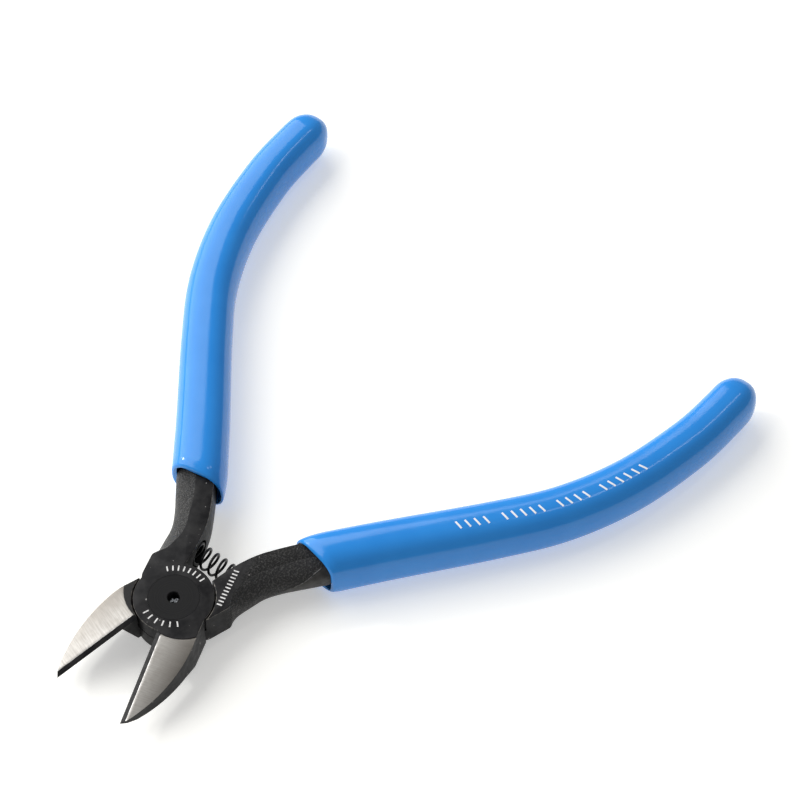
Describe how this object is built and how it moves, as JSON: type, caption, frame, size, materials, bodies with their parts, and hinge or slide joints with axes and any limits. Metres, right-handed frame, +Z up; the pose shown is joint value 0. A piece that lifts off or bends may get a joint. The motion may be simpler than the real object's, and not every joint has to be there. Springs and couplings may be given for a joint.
{
  "type": "flush cut pliers",
  "caption": "Small flush cutting pliers: black steel levers on a flush rivet, ground jaws, a return coil spring and glossy blue dipped grip sleeves.",
  "frame": {"origin": "on the pivot axis at the flat underside of the joint", "axes": "+X towards the jaw tips, +Z up along the pivot axis, +Y towards the upper lever's jaw"},
  "size_m": [0.1467, 0.1302, 0.0124],
  "materials": {
    "lever_steel": "black oxide on forged steel, with bright ground jaw faces",
    "rivet_steel": "black oxide, turned, satin",
    "spring_steel": "blackened spring wire",
    "grip_vinyl": "glossy dipped vinyl"
  },
  "bodies": {
    "lower_half": {"lower_lever": "lever_steel", "lower_grip_sleeve": "grip_vinyl", "pivot_rivet": "rivet_steel", "return_spring": "spring_steel"},
    "upper_half": {"upper_lever": "lever_steel", "upper_grip_sleeve": "grip_vinyl"}
  },
  "joints": [
    {"name": "pivot", "type": "hinge", "parent": "lower_half", "child": "upper_half", "pos_m": [0, 0, 0], "axis": [0, 0, 1], "range_deg": [-35.1, 3], "stiffness_Nm_per_rad": 0.43, "deforming": ["return_spring"]}
  ]
}
